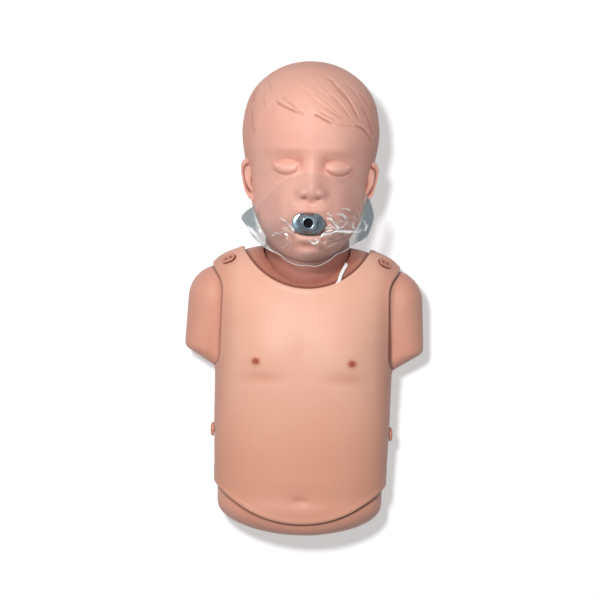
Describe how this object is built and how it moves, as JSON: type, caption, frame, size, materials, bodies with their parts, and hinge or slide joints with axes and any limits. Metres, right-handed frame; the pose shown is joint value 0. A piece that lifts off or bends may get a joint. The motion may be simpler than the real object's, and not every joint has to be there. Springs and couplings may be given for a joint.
{
  "type": "cpr training manikin",
  "caption": "Child CPR training torso on its back: sprung chest under a detachable skin, tilting head with open mouth, mouthpiece and clear film face shield.",
  "frame": {"origin": "centre of the footprint on the surface that the back lies on", "axes": "+Z out of the chest, +Y toward the crown, +X to the manikin's left"},
  "size_m": [0.2518, 0.4995, 0.1703],
  "materials": {
    "vinyl": "satin moulded vinyl",
    "soft_skin": "soft matte vinyl skin",
    "stud": "satin",
    "nylon": "matte",
    "steel": "zinc plated",
    "clear_plastic": "glossy tinted",
    "valve_rubber": "matte silicone",
    "bag_film": "thin clear film",
    "film": "clear film"
  },
  "bodies": {
    "torso": {"torso_shell": "vinyl", "chest_skin": "soft_skin", "shoulder_button_left": "stud", "shoulder_button_right": "stud", "side_button_left": "stud", "side_button_right": "stud", "spring_base": "nylon", "base_screws": "steel", "compression_spring": "steel", "neck_bracket": "steel", "bracket_screws": "steel", "neck_pins": "steel", "neck_washers": "nylon", "pin_clips": "steel"},
    "chest": {"chest_plate": "nylon", "plunger": "nylon", "plunger_screw": "steel", "lung_bag": "bag_film"},
    "head": {"head_skin": "vinyl", "neck_yoke": "nylon", "airway_tube": "nylon", "mouthpiece": "clear_plastic", "valve_disc": "valve_rubber", "face_shield": "film"}
  },
  "joints": [
    {"name": "chest_press", "type": "slide", "parent": "torso", "child": "chest", "axis": [0, 0, -1], "range_m": [0, 0.038], "stiffness_N_per_m": 4000, "deforming": ["compression_spring"]},
    {"name": "head_tilt", "type": "hinge", "parent": "torso", "child": "head", "pos_m": [0, 0.034, 0.068], "axis": [1, 0, 0], "range_deg": [-10, 18]}
  ]
}
